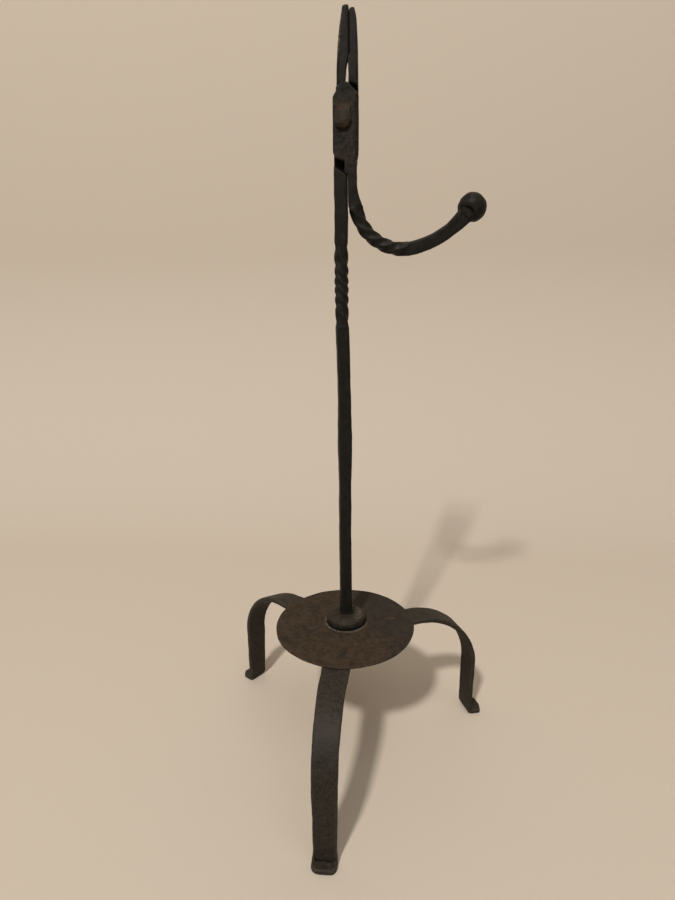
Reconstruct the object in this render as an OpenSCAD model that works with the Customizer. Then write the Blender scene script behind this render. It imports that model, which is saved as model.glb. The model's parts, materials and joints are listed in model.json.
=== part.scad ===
// Rushlight holder in wrought iron: a nip with a weighted arm that closes it, on a
// twisted stem that stands on a round drip plate with three bent strap legs.
// The origin is on the floor under the middle of the stance, +Z is up, and the arm
// swings in a plane of X and Z with its weight towards +X.

/* [Stance] */
// How far the stem stands to the left of the middle of the stance
stem_left = 4.3; // [3:0.1:6]
// How far the stem stands behind the middle of the stance
stem_back = 20.3; // [18:0.1:23]

/* [Drip plate] */
// Diameter of the round drip plate
plate_d = 80; // [72:1:90]
// Thickness of the drip plate
plate_t = 1.2; // [1:0.1:2]
// Height of the plate's underside above the floor
plate_z = 75; // [65:1:90]
// How far the plate's centre lies in front of the stem
plate_forward = 4; // [2:0.5:7]
// How far the plate's centre lies to the left of the stem
plate_left = 0.5; // [0:0.1:1.5]

/* [Legs] */
// Thickness of the strap that a leg is bent from
leg_t = 2.5; // [2:0.1:3.2]
// Width of a leg where it leaves the plate
leg_w = 14.4; // [13.8:0.2:16]
// Width of the front leg half way down
front_shin_w = 12.6; // [11.8:0.1:13.4]
// Width of the left leg half way down
left_shin_w = 12.8; // [11.8:0.1:13.6]
// Width of the right leg half way down
right_shin_w = 14; // [11.8:0.1:14.4]
// How much narrower a leg is above its foot than half way down
leg_taper = 1.5; // [0.8:0.1:2]
// How much wider a toe is than the leg above it
toe_spread = 1.1; // [0:0.1:1.4]
// Distance from the plate's centre to a leg's inner end
leg_start = 17; // [15:0.5:19]
// Distance from the plate's centre to the outer face of the front leg
front_reach = 86; // [81:0.5:92]
// Distance from the plate's centre to the outer face of the right leg
right_reach = 81; // [80:0.5:92]
// Distance from the plate's centre to the outer face of the left leg
left_reach = 83.5; // [81:0.5:92]
// Degrees by which the right leg leans in
right_lean_in = 1; // [0:0.5:3]
// Degrees by which the left leg leans out
left_lean_out = 2; // [0:0.5:3]
// Outer radius of the bend at the top of a leg
shoulder_r = 38.5; // [28:0.5:41]
// Radius of the hollow where the foot turns outwards
toe_r = 0.8; // [0.5:0.1:2]
// Length of the front toe past the leg's outer face
front_toe = 5.4; // [4.8:0.1:7]
// Length of the left toe past the leg's outer face
left_toe = 7.5; // [5.6:0.1:9]
// Length of the right toe past the leg's outer face
right_toe = 7.2; // [5.6:0.1:9]
// Radius of a toe's rounded corners
toe_corner_r = 3.5; // [2:0.1:4]
// Direction of the front leg, in degrees from +X
front_az = -93.5; // [-100:0.5:-85]
// Direction of the right leg, in degrees from +X
right_az = 20; // [15:0.5:30]
// Direction of the left leg, in degrees from +X
left_az = 142.5; // [135:0.5:150]

/* [Leg rivets] */
// Distance of the front leg's rivet from the plate's centre
front_rivet_at = 27; // [23:0.5:30]
// Distance of the right leg's rivet from the plate's centre
right_rivet_at = 26.5; // [23:0.5:30]
// Distance of the left leg's rivet from the plate's centre
left_rivet_at = 26; // [23:0.5:30]
// Diameter of a leg rivet's shank
leg_rivet_d = 4; // [3:0.1:5]
// Diameter of a leg rivet's flat head
leg_head_d = 9; // [7:0.1:9.6]
// Thickness of a leg rivet's flat head
leg_head_t = 0.9; // [0.6:0.1:1.4]
// Length of the hammered end under the strap
leg_peen_t = 1.2; // [0.8:0.1:1.8]

/* [Collar] */
// Outer diameter of the collar round the stem's foot
collar_d = 22.8; // [18:0.2:26]
// Height of the collar's rim
collar_rim = 4.2; // [3:0.1:6]
// Rise of the collar's domed top above its rim
collar_crown = 1.8; // [0.8:0.1:3]
// Diameter of the flat that the stem stands on
collar_land_d = 11; // [10.4:0.2:13]

/* [Stem] */
// Side of the square bar under the nip
stem_w = 6.3; // [5.8:0.1:7]
// Side of the square bar under the twist
stem_low_w = 6.2; // [5.8:0.1:7]
// Side of the bar where it swells
swell_w = 7; // [6.2:0.1:8]
// Distance from the hinge down to the middle of the swelling
swell_drop = 157; // [140:1:170]
// Sideways bow of the stem at the swelling
stem_bow = 0.5; // [0:0.1:1.5]
// Degrees by which the lower bar stands turned
foot_turn = 12; // [0:1:20]
// Bevel on the corners of the bars
bar_bevel = 0.6; // [0.3:0.1:0.9]
// Diameter of the tenon that goes down through the collar and the plate
tenon_d = 5.2; // [4:0.1:5.8]
// Diameter of the tenon's hammered end
tenon_head_d = 8; // [6.6:0.1:9]
// Thickness of the tenon's hammered end
tenon_head_t = 2; // [1.2:0.1:2.6]

/* [Twists] */
// Turns in each twist
twist_turns = 1.5; // [1:0.5:2.5]
// Distance from the hinge down to the top of the stem's twist
stem_twist_drop = 54.3; // [46:0.1:60]
// Length of the stem's twist
stem_twist_len = 36.4; // [30:0.2:42]
// Distance along the arm to the start of its twist
arm_twist_from = 22; // [20:0.5:26]
// Length of the arm's twist
arm_twist_len = 30; // [24:0.5:32]
// Side of the stem's bar in its twist
stem_twist_w = 5.8; // [5.2:0.1:6.4]
// Side of the arm's bar in its twist
arm_twist_w = 5.8; // [5.2:0.1:6.2]

/* [Nip] */
// Height of the hinge above the floor
hinge_z = 338; // [320:1:360]
// Distance of the hinge from the stem's middle
hinge_x = 2.4; // [2:0.1:3]
// Thickness of the two laps together
nip_t = 6.8; // [6.8:0.1:8]
// Width of the laps at the hinge
lap_w = 11.5; // [11.2:0.1:12.6]
// Length of the laps below the hinge
lap_down = 17.4; // [16.5:0.1:19]
// Length of the laps above the hinge
lap_up = 14.5; // [13.6:0.1:16]
// Gap between the two laps
lap_gap = 0.16; // [0.1:0.01:0.3]
// Gap round the ends of the laps
lap_end_gap = 0.4; // [0.3:0.05:0.8]
// Height of the moving jaw's tip above the hinge
moving_jaw_h = 44.8; // [40:0.2:50]
// Height of the fixed jaw's tip above the hinge
fixed_jaw_h = 43.7; // [40:0.2:48]
// Depth of the jaws at their tips
jaw_tip_t = 4.6; // [3.6:0.1:5.6]
// Distance from the hinge's axis to the line where the jaws meet
meet_x = 2.2; // [2:0.1:2.4]
// Gap that is left between the closed jaws
jaw_gap = 0.16; // [0.1:0.01:0.3]
// Height above the hinge where the jaws start to meet
meet_from = 25.6; // [23:0.2:29]
// Bevel along the edges where the jaws meet
jaw_bevel = 0.45; // [0.2:0.05:0.7]

/* [Hinge rivet] */
// Diameter of the hinge rivet's shank
pivot_d = 5; // [4:0.1:5.6]
// Gap round the shank
pivot_fit = 0.07; // [0.03:0.01:0.1]
// Width of the rivet's hammered front head
pivot_head_w = 7.8; // [7:0.1:9]
// Height of the rivet's hammered front head
pivot_head_h = 11.2; // [9.6:0.1:12.4]
// How far the hammered head is spread upwards
pivot_head_up = 1.4; // [0.6:0.1:1.8]
// Rise of the rivet's front head
pivot_head_t = 2.4; // [1.6:0.1:3]
// Rise of the rivet's rear head
pivot_back_t = 2; // [1.4:0.1:2.8]
// Gap under the front head, where the arm turns
pivot_play = 0.05; // [0.02:0.01:0.1]

/* [Arm] */
// Side of the arm's square bar
arm_w = 6.2; // [5.6:0.1:6.6]
// Width of the arm where it leaves the hinge
arm_neck_w = 4.1; // [3.8:0.1:4.3]
// Distance from the hinge's axis to the middle of the arm's neck
arm_neck_x = 3.15; // [3.05:0.05:3.4]
// Length of the arm's straight neck
arm_neck_len = 10.2; // [8:0.2:12]
// Radius of the slow bend under the neck
neck_bend_r = 45; // [38:1:55]
// Degrees that the slow bend turns
neck_bend = 19; // [16:1:22]
// Radius of the bend at the bottom of the arm
low_bend_r = 23.3; // [21:0.1:26]
// Degrees that the bottom bend turns
low_bend = 85; // [78:1:88]
// Radius of the bend that rises to the ball
tail_bend_r = 45; // [40:1:52]
// Degrees that the rising bend turns
tail_bend = 34; // [28:1:38]
// Side of the bar where it spreads at the ball
arm_flare_w = 7.6; // [6.4:0.1:8.2]

/* [Counterweight] */
// Diameter of the ball that closes the nip
ball_d = 13.4; // [12:0.1:18]
// Distance from the ball's middle to the end of the arm
ball_seat = 5.2; // [4:0.1:5.6]
// Diameter of the peg that holds the ball
peg_d = 3.4; // [2.6:0.1:4]
// Length of the peg
peg_len = 5; // [3:0.1:6]

/* [Hidden] */

$fn = 96;

iron = "#3b3733";
rust = "#5a4436";
worn = "#4a4642";

// Gap round a shank that is hammered tight in its hole
rivet_fit = 0.05;
plate_top = plate_z + plate_t;
collar_top = plate_top + collar_rim + collar_crown;
collar_edge_r = 1.1;

// Height where a leg is narrowest, and the slight curve of a toe's end
ankle_z = 9;
toe_bow = 0.4;

// The swelling tapers off faster downwards than upwards
swell_z = hinge_z - swell_drop;
swell_below = 17;
swell_above = 30;

stem_twist_top = hinge_z - stem_twist_drop;
stem_twist_z = stem_twist_top - stem_twist_len;

// A twist starts and ends slowly, by this share of its mean rate
twist_ease = 0.4;
// Share of a twist's length over which its corners soften
twist_fade = 0.16;
twist_bevel = 0.6;
// The stem leans one way in its twist and the other way at its top
twist_sway = -0.2;
top_sway = 0.15;
stem_fade = 5;
degrees_a_ring = 15;

// Across the hinge, measured from its axis
bar_left = top_sway - stem_w / 2 - hinge_x;
bar_right = top_sway + stem_w / 2 - hinge_x;
lap_right = bar_left + lap_w;
arm_left = arm_neck_x - arm_neck_w / 2;
arm_side_gap = 0.3;
relief_x = arm_left - arm_side_gap;

// Up and down from the hinge's axis
stem_relief_up = lap_up + lap_end_gap;
arm_relief_r = lap_down + 2 * lap_end_gap;
relief_end = 38;
relief_fade = 3.5;
jaw_root = 11;
jaw_straight = 15;

// A lip on the front of the arm's neck, which laps over the stem's edge
lip_left = -0.3;
lip_down = lap_down + 4.9;
lip_slope = 0.67;
// The slot between the jaws is cut mostly out of the moving one
slot_deep = 2.1;
slot_step = 0.35;

// The arm's middle line, as lengths and bends
arm_from = [hinge_x + arm_neck_x, hinge_z - lap_down + 1.4];
arm_run = [
    [arm_neck_len, 0],
    [neck_bend_r, neck_bend],
    [low_bend_r, low_bend],
    [tail_bend_r, tail_bend]];
arm_len = run_length(arm_run);
arm_end = along(arm_run, arm_len, arm_from, -90);
arm_full_at = 21;
arm_fade = 4;
arm_flare_len = 8;
arm_twist_to = arm_twist_from + arm_twist_len;
arm_tail_rings = 12;

// A value held between 0 and 1
function unit(t) = max(0, min(1, t));

// Length of one piece of a run: [length, 0], or [radius, degrees] with left positive
function piece_length(piece) = piece[1] == 0 ? piece[0] : piece[0] * abs(piece[1]) * PI / 180;

// Length of a run up to its piece number k
function run_length(run, k = 0) = k == len(run) ? 0 : piece_length(run[k]) + run_length(run, k + 1);

// Point on one piece at a distance s from its start p, where it heads h
function on_piece(piece, s, p, h) = piece[1] == 0
    ? [p + s * [cos(h), sin(h)], h]
    : let (side = sign(piece[1]), r = side * piece[0], g = h + s / r * 180 / PI)
        [p + r * [sin(g) - sin(h), cos(h) - cos(g)], g];

// Point and heading at a distance s along a run that starts at p and heads h
function along(run, s, p, h, k = 0) =
    let (l = piece_length(run[k]))
    s <= l || k == len(run) - 1
        ? on_piece(run[k], s, p, h)
        : let (q = on_piece(run[k], l, p, h)) along(run, s - l, q[0], q[1], k + 1);

// Distances along a run at its piece ends, with arcs cut every few degrees
function run_steps(run, k = 0, done = 0) = k == len(run) ? [done] :
    let (l = piece_length(run[k]), n = max(1, ceil(abs(run[k][1]) / 5)))
    concat([for (i = [0:n - 1]) done + l * i / n], run_steps(run, k + 1, done + l));

// Share of a twist's turns made at the share t of its length
function twist_share(t) = unit(t) - twist_ease * sin(360 * unit(t)) / (2 * PI);

// Share of the twist's full thinning at the share t of its length
function twist_depth(t) = unit(min(t, 1 - t) / twist_fade);

// Corners of a bevelled rectangle, anticlockwise
function bar_section(a, b, bevel) =
    [for (side = [[a, b, 0], [b, a, 90], [a, b, 180], [b, a, 270]], edge = [-1, 1])
        let (x = side[0] / 2, y = edge * (side[1] / 2 - bevel), g = side[2])
        [x * cos(g) - y * sin(g), x * sin(g) + y * cos(g)]];

// One ring of a swept bar: its middle, two axes across it, its sides, bevel and turn
function ring(p, u, v, a, b, bevel, turn) = [for (c = bar_section(a, b, bevel))
    p + u * (c[0] * cos(turn) - c[1] * sin(turn)) + v * (c[0] * sin(turn) + c[1] * cos(turn))];

// A solid bar through rings of eight points
module swept_bar(rings) {
    n = 8;
    last = len(rings) - 1;
    points = [for (r = rings) each r];
    sides = [for (k = [0:last - 1], i = [0:n - 1])
        let (a = k * n + i, b = k * n + (i + 1) % n)
        each [[a, a + n, b + n], [a, b + n, b]]];
    first_end = [for (i = [0:n - 1]) i];
    last_end = [for (i = [n - 1:-1:0]) last * n + i];
    polyhedron(points, concat(sides, [first_end, last_end]));
}

// An outline in X and Z, made solid from y0 to y1
module slab(y0, y1) {
    translate([0, y1, 0])
        rotate([90, 0, 0])
            linear_extrude(y1 - y0)
                children();
}

// An outline in Y and Z, made solid across the nip
module cross_slab() {
    translate([-lap_w, 0, 0])
        rotate([90, 0, 90])
            linear_extrude(2 * lap_w)
                children();
}

module at_hinge() {
    translate([hinge_x, 0, hinge_z])
        children();
}

module hinge_bore() {
    rotate([90, 0, 0])
        cylinder(d = pivot_d + 2 * pivot_fit, h = 2 * nip_t, center = true);
}

// Side view of both jaws, thinner towards their tips
module jaw_depth() {
    cross_slab()
        polygon([
            [-nip_t / 2, 0],
            [nip_t / 2, 0],
            [nip_t / 2, jaw_straight],
            [jaw_tip_t / 2, moving_jaw_h],
            [-jaw_tip_t / 2, moving_jaw_h],
            [-nip_t / 2, jaw_straight]]);
}

// The two grooves, front and back, that the bevelled jaws leave between them
module jaw_grooves() {
    rise = moving_jaw_h - jaw_straight;
    lean = atan((nip_t - jaw_tip_t) / 2 / rise);
    side = (jaw_bevel + jaw_gap / 2) * sqrt(2);
    for (face = [-1, 1])
        translate([meet_x, face * nip_t / 2, jaw_straight])
            rotate([face * lean, 0, 0])
                translate([0, 0, meet_from - jaw_straight + rise / 2])
                    rotate([0, 0, 45])
                        cube([side, side, rise], center = true);
}

function stem_width(z) =
    let (reach = z < swell_z ? swell_below : swell_above,
        swell = (1 + cos(180 * unit(abs(z - swell_z) / reach))) / 2)
    lookup(z, [
        [swell_z, stem_low_w],
        [stem_twist_z, stem_twist_w],
        [stem_twist_top, stem_twist_w],
        [stem_twist_top + stem_fade, stem_w]])
    + (swell_w - stem_low_w) * swell;

function stem_ring(z) =
    let (t = (z - stem_twist_z) / stem_twist_len, w = stem_width(z),
        x = lookup(z, [
            [(collar_top + swell_z) / 2, 0],
            [swell_z, stem_bow],
            [swell_z + swell_above, stem_bow],
            [stem_twist_z, twist_sway],
            [stem_twist_top, twist_sway],
            [hinge_z - relief_end, top_sway]]),
        bevel = bar_bevel + twist_bevel * twist_depth(t),
        turn = foot_turn - (360 * twist_turns + foot_turn) * twist_share(t))
    ring([x, 0, z], [1, 0, 0], [0, 1, 0], w, w, bevel, turn);

module stem_bar() {
    steps = ceil(360 * twist_turns / degrees_a_ring);
    heights = concat(
        [collar_top, (collar_top + swell_z) / 2],
        [for (i = [-4:0]) swell_z + swell_below * i / 4],
        [for (i = [1:4]) swell_z + swell_above * i / 4],
        [for (i = [0:steps]) stem_twist_z + stem_twist_len * i / steps],
        [stem_twist_top + stem_fade, hinge_z - relief_end, hinge_z - lap_up]);
    swept_bar([for (z = heights) stem_ring(z)]);
}

// Foot of the stem, hammered over under the plate
module stem_tenon() {
    translate([0, 0, plate_z - tenon_head_t])
        cylinder(d = tenon_d, h = collar_top - plate_z + tenon_head_t + 1);
    translate([0, 0, plate_z - tenon_head_t])
        cylinder(d1 = tenon_head_d - 1.6, d2 = tenon_head_d, h = tenon_head_t / 2);
    translate([0, 0, plate_z - tenon_head_t / 2])
        cylinder(d = tenon_head_d, h = tenon_head_t / 2);
}

// Rear lap of the hinge, which belongs to the stem
module stem_lap() {
    slab(-nip_t / 4, nip_t / 2)
        intersection() {
            polygon([
                [bar_left, -lap_down - 2],
                [bar_right, -lap_down - 2],
                [bar_right, -lap_down],
                [lap_right, -lap_down + lap_right - bar_right],
                [lap_right, 9],
                [lap_right, jaw_root + 1.5],
                [meet_x, lap_up + 1],
                [bar_left + 1.4, lap_up + 1],
                [bar_left + 1.1, lap_up - 3],
                [bar_left, lap_up - 5.5]]);
            union() {
                circle(r = lap_up);
                translate([-lap_w, -2 * lap_down])
                    square([2 * lap_w, 2 * lap_down]);
            }
        }
}

// The stem's own jaw, which stands still
module fixed_jaw() {
    face_x = meet_x + jaw_gap / 2;
    back_x = lap_right - 0.1;
    tip = fixed_jaw_h;
    intersection() {
        slab(-nip_t, nip_t)
            polygon([
                [face_x - slot_step, jaw_root - 2],
                [lap_right, jaw_root - 2],
                [lap_right, jaw_root + 1.5],
                [back_x, jaw_straight + 0.4],
                [back_x, 20.6],
                [back_x, 27],
                [back_x - 0.2, tip - 9.9],
                [back_x - 0.4, tip - 6.9],
                [back_x - 0.6, tip - 3.4],
                [back_x - 1.1, tip - 1.4],
                [back_x - 1.5, tip - 0.1],
                [back_x - 1.8, tip],
                [face_x + 0.8, tip],
                [face_x, tip - 0.6],
                [face_x, meet_from],
                [face_x - slot_step, meet_from - 5]]);
        jaw_depth();
    }
}

// Cut in the front of the stem that the arm's lap and lip swing in
module stem_recess() {
    low = [for (x = [-lap_w, lap_w]) -lip_down - lap_end_gap - lip_slope * (x - lip_left)];
    slab(-2 * nip_t, lap_gap / 2)
        union() {
            circle(r = stem_relief_up);
            polygon([[-lap_w, 0], [-lap_w, low[0]], [lap_w, low[1]], [lap_w, 0]]);
        }
}

// Flat on the stem's side that the arm's neck lies along
module stem_side_flat() {
    slab(-nip_t, nip_t)
        polygon([
            [bar_right + 1, -lap_down],
            [bar_right, -lap_down],
            [relief_x, -lap_down - 1],
            [relief_x, -relief_end],
            [bar_right, -relief_end - relief_fade],
            [bar_right + 1, -relief_end - relief_fade]]);
}

module stem() {
    color(iron)
        difference() {
            union() {
                stem_bar();
                stem_tenon();
                at_hinge() {
                    stem_lap();
                    fixed_jaw();
                }
            }
            at_hinge() {
                stem_recess();
                stem_side_flat();
                jaw_grooves();
                hinge_bore();
            }
        }
}

// Front lap of the hinge, which belongs to the arm
module arm_lap() {
    slab(-nip_t / 2, nip_t / 4)
        polygon([
            [bar_left + 0.1, lap_up - 5.5],
            [bar_left - 0.3, -lap_down + 3.9],
            [bar_left + 0.7, -lap_down + 1.6],
            [lip_left, -lap_down],
            [arm_left, -lap_down],
            [arm_left, -lap_down - 2],
            [arm_left + arm_neck_w, -lap_down - 2],
            [lap_right, -lap_down + 2.8],
            [lap_right + 0.2, lap_up - 5.5],
            [lap_right, lap_up - 4.1],
            [meet_x - jaw_gap / 2 - 0.2, lap_up - 0.1],
            [meet_x - jaw_gap / 2 - 0.6, lap_up + 0.4],
            [bar_left + 2, lap_up + 0.4],
            [bar_left + 2, lap_up - 2.6],
            [bar_left + 0.8, lap_up - 4.3]]);
}

// Lip on the front half of the arm's neck
module arm_lip() {
    right = arm_left + 0.5;
    slab(-nip_t / 2, -lap_gap / 2)
        polygon([
            [lip_left, -lap_down + 2],
            [lip_left, -lip_down],
            [right, -lip_down - lip_slope * (right - lip_left)],
            [right, -lap_down + 2]]);
}

// The arm's jaw, with a slot under the faces that meet
module moving_jaw() {
    face_x = meet_x - jaw_gap / 2;
    tip = moving_jaw_h;
    back_x = bar_left + 1.8;
    curve_h = tip - 0.4 - jaw_straight;
    intersection() {
        slab(-nip_t, nip_t)
            polygon(concat(
                [[back_x, jaw_root],
                [face_x - 0.8, jaw_root],
                [face_x - slot_deep, jaw_straight + 0.4],
                [face_x - slot_deep + 0.2, meet_from - 4],
                [face_x - slot_deep + 1, meet_from - 1],
                [face_x, meet_from],
                [face_x, tip - 0.4],
                [face_x - 0.3, tip],
                [face_x - 2, tip]],
                [for (i = [8:-1:0])
                    [back_x + 2.9 * pow(i / 8, 2), jaw_straight + curve_h * i / 8]]));
        jaw_depth();
    }
}

function arm_ring(s) =
    let (place = along(arm_run, s, arm_from, -90), p = place[0], h = place[1],
        t = (s - arm_twist_from) / arm_twist_len,
        deep = lookup(s, [
            [0, nip_t],
            [arm_full_at, arm_w],
            [arm_twist_from + arm_fade, arm_twist_w],
            [arm_twist_to - arm_fade, arm_twist_w],
            [arm_twist_to, arm_w],
            [arm_len - arm_flare_len, arm_w],
            [arm_len, arm_flare_w]]),
        across = s < arm_full_at ? min(arm_w, 2 * (p[0] - hinge_x - arm_left)) : deep,
        bevel = bar_bevel + twist_bevel * twist_depth(t))
    ring([p[0], 0, p[1]], [0, 1, 0], [-sin(h), 0, cos(h)], deep, across,
        bevel, -360 * twist_turns * twist_share(t));

module arm_bar() {
    steps = ceil(360 * twist_turns / degrees_a_ring);
    tail = arm_len - arm_twist_to;
    places = concat(
        [0, arm_neck_len / 2],
        [for (i = [0:3]) arm_neck_len + (arm_twist_from - arm_neck_len) * i / 4],
        [for (i = [0:steps]) arm_twist_from + arm_twist_len * i / steps],
        [for (i = [1:arm_tail_rings]) arm_twist_to + tail * i / arm_tail_rings]);
    swept_bar([for (s = places) arm_ring(s)]);
}

// Room in the back of the arm for the stem's lap
module arm_recess() {
    slab(-lap_gap / 2, 2 * nip_t)
        union() {
            circle(r = stem_relief_up);
            intersection() {
                circle(r = arm_relief_r);
                translate([-2 * lap_w, -2 * lap_w])
                    square([4 * lap_w, 2 * lap_w]);
            }
        }
}

module at_arm_end() {
    translate([arm_end[0][0], 0, arm_end[0][1]])
        rotate([0, 90 - arm_end[1], 0])
            children();
}

module swing_arm() {
    color(iron) {
        difference() {
            union() {
                arm_bar();
                at_hinge() {
                    arm_lap();
                    arm_lip();
                    moving_jaw();
                }
                at_arm_end()
                    translate([0, 0, -1])
                        cylinder(d = peg_d, h = peg_len + 1);
            }
            at_hinge() {
                arm_recess();
                jaw_grooves();
                hinge_bore();
            }
        }
    }
}

module counterweight() {
    color(iron)
        at_arm_end()
            difference() {
                translate([0, 0, ball_seat])
                    sphere(d = ball_d);
                translate([0, 0, -ball_d])
                    cylinder(d = 2 * ball_d, h = ball_d);
                cylinder(d = peg_d + 2 * rivet_fit, h = peg_len + 0.3);
            }
}

// A low dome whose flat side is at z = 0
module dome(d, rise) {
    r = (d * d / 4 + rise * rise) / (2 * rise);
    intersection() {
        translate([0, 0, rise - r])
            sphere(r = r);
        cylinder(d = d + 1, h = rise + 1);
    }
}

module pivot_rivet() {
    shank = nip_t + pivot_play;
    color(rust)
        at_hinge() {
            translate([0, nip_t / 2, 0])
                rotate([90, 0, 0])
                    cylinder(d = pivot_d, h = shank);
            translate([0, nip_t / 2 - shank, 0])
                rotate([90, 0, 0])
                    for (side = [-1, 1])
                        translate([0, pivot_head_up + side * (pivot_head_h - pivot_head_w) / 2, 0])
                            dome(pivot_head_w, pivot_head_t);
            translate([0, nip_t / 2, 0])
                rotate([-90, 0, 0])
                    dome(pivot_head_w, pivot_back_t);
        }
}

// Turns from the plate's middle to one leg's direction
module at_leg(az) {
    translate([-plate_left, -plate_forward, 0])
        rotate([0, 0, az])
            children();
}

module drip_plate() {
    color(rust)
        difference() {
            translate([-plate_left, -plate_forward, plate_z])
                cylinder(d = plate_d, h = plate_t);
            translate([0, 0, plate_z - 1])
                cylinder(d = tenon_d + 2 * rivet_fit, h = plate_t + 2);
            rivet_hole(front_az, front_rivet_at);
            rivet_hole(left_az, left_rivet_at);
            rivet_hole(right_az, right_rivet_at);
        }
}

module rivet_hole(az, rivet_at) {
    at_leg(az)
        translate([rivet_at, 0, plate_z - leg_t - 1])
            cylinder(d = leg_rivet_d + 2 * rivet_fit, h = leg_t + plate_t + 2);
}

module collar() {
    r = collar_d / 2;
    edge = collar_edge_r;
    land = collar_land_d / 2;
    color(rust)
        translate([0, 0, plate_top])
            rotate_extrude()
                polygon(concat(
                    [[tenon_d / 2 + rivet_fit, 0], [r - 0.3, 0], [r, 0.3]],
                    [for (a = [0:15:75]) [r - edge + edge * cos(a), collar_rim - edge + edge * sin(a)]],
                    [for (i = [0:5]) let (x = 1 - i / 5)
                        [land + (r - edge - land) * x, collar_rim + collar_crown * (1 - x * x)]],
                    [[tenon_d / 2 + rivet_fit, collar_rim + collar_crown]]));
}

// One leg: a flat strap bent down in one curve, with its toe turned outwards
module leg(az, reach, lean_out, rivet_at, shin_w, toe) {
    half = leg_t / 2;
    turn = 90 - lean_out;
    drop_r = shoulder_r - half;
    foot_r = toe_r + half;
    shin = (plate_z - leg_t - (drop_r + foot_r) * (1 - cos(turn))) / sin(turn);
    out = reach - leg_start - drop_r * sin(turn) - shin * cos(turn) - half * sin(turn);
    tip = reach + toe;
    toe_w = shin_w - leg_taper + toe_spread;
    corner = [tip - toe_bow - toe_corner_r, toe_w / 2 - toe_corner_r];
    bends = [[out, 0], [drop_r, -turn], [shin, 0], [foot_r, turn]];
    foot = along(bends, run_length(bends), [leg_start, plate_z - half], 0)[0];
    run = concat(bends, [[tip - foot[0], 0]]);
    line = [for (s = run_steps(run)) along(run, s, [leg_start, plate_z - half], 0)];
    outer = [for (q = line) q[0] + half * [-sin(q[1]), cos(q[1])]];
    inner = [for (i = [len(line) - 1:-1:0]) let (q = line[i]) q[0] - half * [-sin(q[1]), cos(q[1])]];
    edge = concat(
        [[leg_start, leg_w / 2 - 1.6], [leg_start + 1.6, leg_w / 2], [plate_d / 2, leg_w / 2],
        [reach - shoulder_r / 4, shin_w / 2], [reach + 0.4, shin_w / 2]],
        [for (a = [80:-10:0]) corner + toe_corner_r * [cos(a), sin(a)]]);
    other_edge = [for (i = [len(edge) - 1:-1:0]) [edge[i][0], -edge[i][1]]];
    at_leg(az)
        difference() {
            intersection() {
                rotate([90, 0, 0])
                    linear_extrude(2 * leg_w, center = true)
                        polygon(concat(outer, inner));
                linear_extrude(plate_z + 1)
                    polygon(concat(edge, [[tip, 0]], other_edge));
                leg_front_view(tip, shin_w, toe_w);
            }
            translate([rivet_at, 0, plate_z - leg_t - 1])
                cylinder(d = leg_rivet_d + 2 * rivet_fit, h = leg_t + 2);
        }
}

// A leg seen from its front: narrower towards the foot, and wider at the toe
module leg_front_view(tip, shin_w, toe_w) {
    shoulder_z = plate_z - shoulder_r / 2;
    ankle_w = shin_w - leg_taper;
    side = [
        [toe_w / 2, -1],
        [toe_w / 2, leg_t],
        [ankle_w / 2, ankle_z],
        [shin_w / 2, shoulder_z],
        [leg_w, shoulder_z + 2],
        [leg_w, plate_z + 1]];
    rotate([90, 0, 90])
        linear_extrude(tip + 1)
            polygon(concat(side, [for (i = [len(side) - 1:-1:0]) [-side[i][0], side[i][1]]]));
}

module leg_front() {
    color(iron)
        leg(front_az, front_reach, 0, front_rivet_at, front_shin_w, front_toe);
}

module leg_left() {
    color(iron)
        leg(left_az, left_reach, left_lean_out, left_rivet_at, left_shin_w, left_toe);
}

module leg_right() {
    color(iron)
        leg(right_az, right_reach, -right_lean_in, right_rivet_at, right_shin_w, right_toe);
}

// A rivet through the plate and a strap: flat head above, hammered end below
module leg_rivet(az, rivet_at) {
    low = plate_z - leg_t - leg_peen_t;
    color(worn)
        at_leg(az)
            translate([rivet_at, 0, 0]) {
                translate([0, 0, low])
                    cylinder(d = leg_rivet_d, h = plate_top - low + leg_head_t / 2);
                translate([0, 0, low])
                    cylinder(d1 = leg_head_d - 2.6, d2 = leg_head_d - 1, h = leg_peen_t);
                translate([0, 0, plate_top])
                    cylinder(d = leg_head_d, h = leg_head_t / 2);
                translate([0, 0, plate_top + leg_head_t / 2])
                    cylinder(d1 = leg_head_d, d2 = leg_head_d - 1.2, h = leg_head_t / 2);
            }
}

module leg_rivet_front() {
    leg_rivet(front_az, front_rivet_at);
}

module leg_rivet_left() {
    leg_rivet(left_az, left_rivet_at);
}

module leg_rivet_right() {
    leg_rivet(right_az, right_rivet_at);
}

// Every piece is drawn round the stem's axis and then moved with it
module in_place() {
    translate([-stem_left, stem_back, 0])
        children();
}

in_place() stem();
in_place() swing_arm();
in_place() counterweight();
in_place() pivot_rivet();
in_place() drip_plate();
in_place() collar();
in_place() leg_front();
in_place() leg_left();
in_place() leg_right();
in_place() leg_rivet_front();
in_place() leg_rivet_left();
in_place() leg_rivet_right();
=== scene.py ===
# %% [markdown]
# # A forged rushlight holder
#
# This holder is blacksmith's work: square bar, strap and sheet iron, heated,
# bent, twisted and riveted. Its charm lies in what the hammer left behind, so
# the lesson is about turning exact shapes into forged ones. The exact model is
# loaded first and stays where it is. Each piece is then dressed with a skin that
# has soft arrises, hammer marks, rust and worn edges.

# %% Load the exact model
import json
import math

import bmesh
import bpy
import numpy as np
from mathutils import Matrix, Vector


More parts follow.
